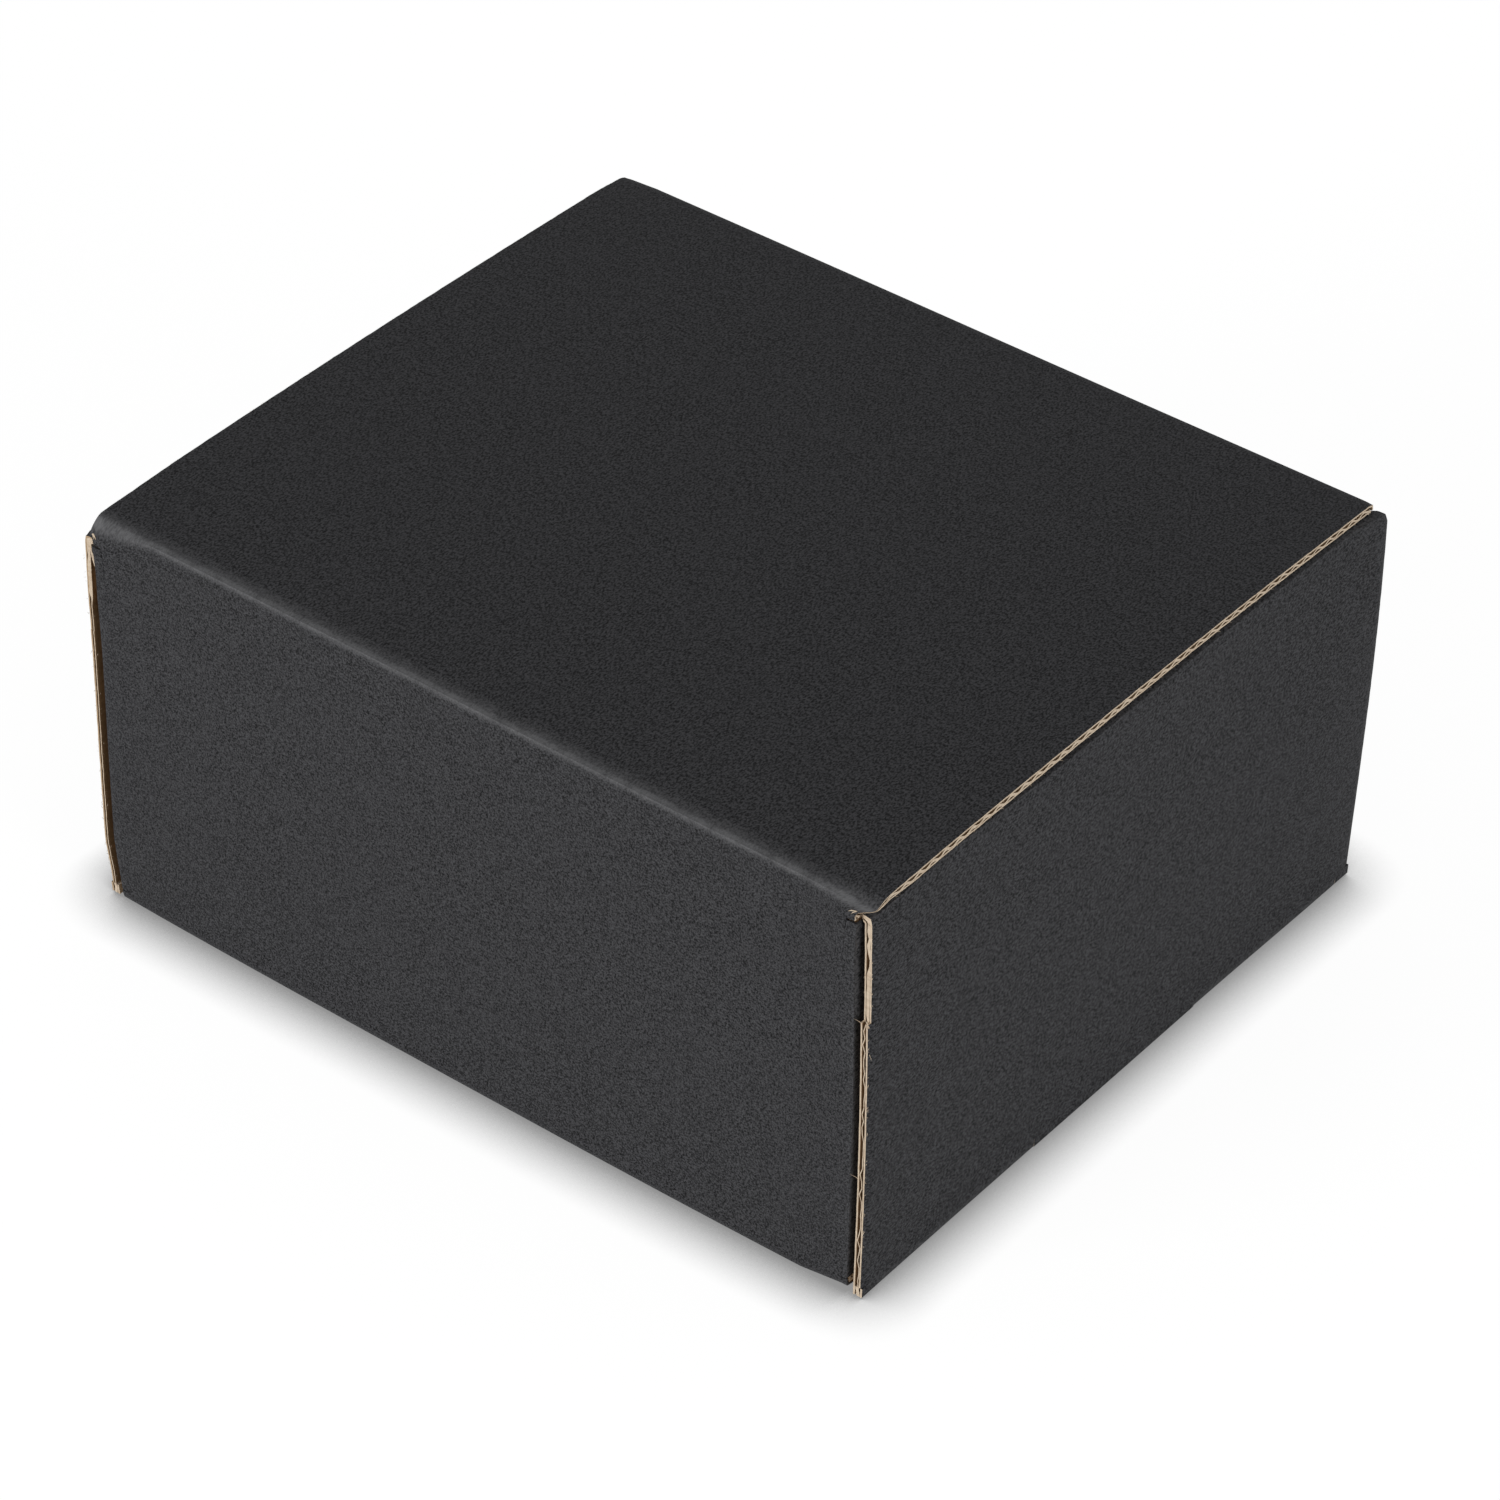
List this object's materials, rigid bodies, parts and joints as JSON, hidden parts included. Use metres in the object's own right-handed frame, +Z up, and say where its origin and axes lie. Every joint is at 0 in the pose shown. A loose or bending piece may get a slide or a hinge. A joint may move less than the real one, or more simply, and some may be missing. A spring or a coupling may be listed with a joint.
{
  "type": "beer can gift box",
  "caption": "Closed mailer-style gift box for drink cans, folded from one sheet of black corrugated board, with rolled-over side walls and a hinged lid that tucks in.",
  "frame": {"origin": "middle of the underside, on the face that the box stands on", "axes": "+X along the lid's hinge crease, the box's longest side; -Y towards the hinge wall and +Y towards the front wall, where the lid tucks in; +Z up"},
  "size_m": [0.151, 0.131, 0.073],
  "materials": {
    "black_board": "matte"
  },
  "bodies": {
    "tray": {"tray": "black_board"},
    "lid": {"lid": "black_board"}
  },
  "joints": [
    {"name": "lid_crease", "type": "hinge", "parent": "tray", "child": "lid", "pos_m": [0, -0.0655, 0.073], "axis": [1, 0, 0], "range_deg": [0, 180]}
  ]
}
